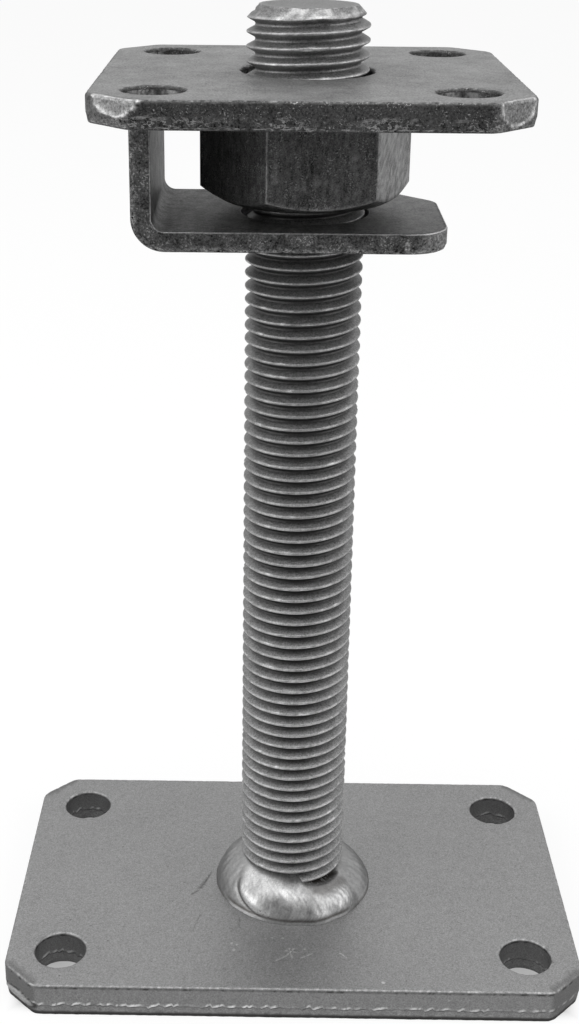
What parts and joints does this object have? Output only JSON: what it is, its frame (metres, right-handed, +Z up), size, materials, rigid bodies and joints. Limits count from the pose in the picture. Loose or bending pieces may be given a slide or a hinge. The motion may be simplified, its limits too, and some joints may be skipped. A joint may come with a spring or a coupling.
{
  "type": "adjustable post base",
  "caption": "Height-adjustable post base: a base plate with a welded threaded rod, and a head plate that a hex nut raises and lowers, with a bent strip under the nut.",
  "frame": {"origin": "on the rod's axis at the base plate's underside, the middle of the footprint", "axes": "+Z up the rod, X along the base plate's long side, Y along its short side; the bracket's leg is on -X and the picture looks along +Y"},
  "size_m": [0.16, 0.1, 0.262],
  "materials": {
    "plate_steel": "satin galvanised, fine grained, with cut and broken edges",
    "rod_steel": "galvanised coarse thread, bright crests over dark roots",
    "weld_metal": "shiny rippled weld bead under zinc",
    "nut_steel": "dark blotchy steel",
    "head_steel": "satin galvanised top over dark rough sheared edges",
    "strip_steel": "dark galvanised strip with light worn edges"
  },
  "bodies": {
    "stand": {"base_plate": "plate_steel", "threaded_rod": "rod_steel", "rod_weld": "weld_metal"},
    "head": {"head_plate": "head_steel", "bracket": "strip_steel", "bracket_weld": "weld_metal"},
    "nut": {"hex_nut": "nut_steel"}
  },
  "joints": [
    {"name": "head_lift", "type": "slide", "parent": "stand", "child": "head", "axis": [0, 0, 1], "range_m": [-0.1873, 0.0184]},
    {"name": "nut_turn", "type": "hinge", "parent": "head", "child": "nut", "pos_m": [0, 0, 0.228], "axis": [0, 0, 1], "range_deg": [-19260, 1890]}
  ],
  "couplings": [
    {"joint": "head_lift", "follows": "nut_turn", "m_per_rad": 0.00055704}
  ]
}
